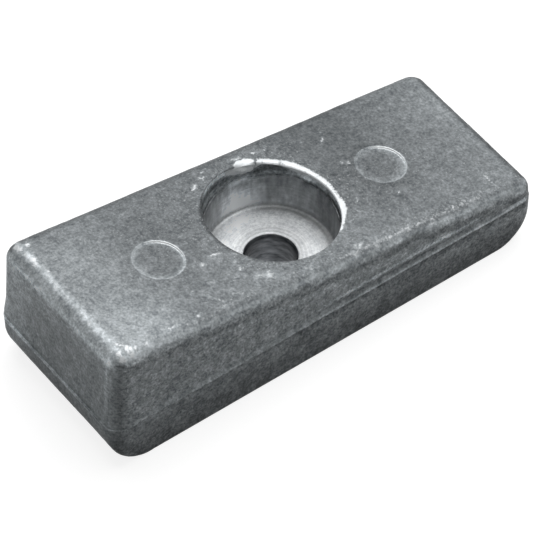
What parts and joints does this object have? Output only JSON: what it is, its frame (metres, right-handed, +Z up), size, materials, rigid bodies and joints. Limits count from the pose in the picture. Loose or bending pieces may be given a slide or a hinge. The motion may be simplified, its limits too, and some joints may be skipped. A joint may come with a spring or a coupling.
{
  "type": "sacrificial anode",
  "caption": "Wedge-shaped cast zinc block with a counterbored bolt hole, bolted to a wetted metal part of a boat so that it corrodes in its place.",
  "frame": {"origin": "centre of the bolt bore on the flat mounting face, which is the bottom of the block", "axes": "+X along the block towards its thin end, +Y across it, +Z up the bolt bore, out of the sloping top"},
  "size_m": [0.095, 0.037, 0.0274],
  "materials": {
    "cast_zinc": null
  },
  "bodies": {
    "root": {"anode_casting": "cast_zinc"}
  },
  "joints": []
}
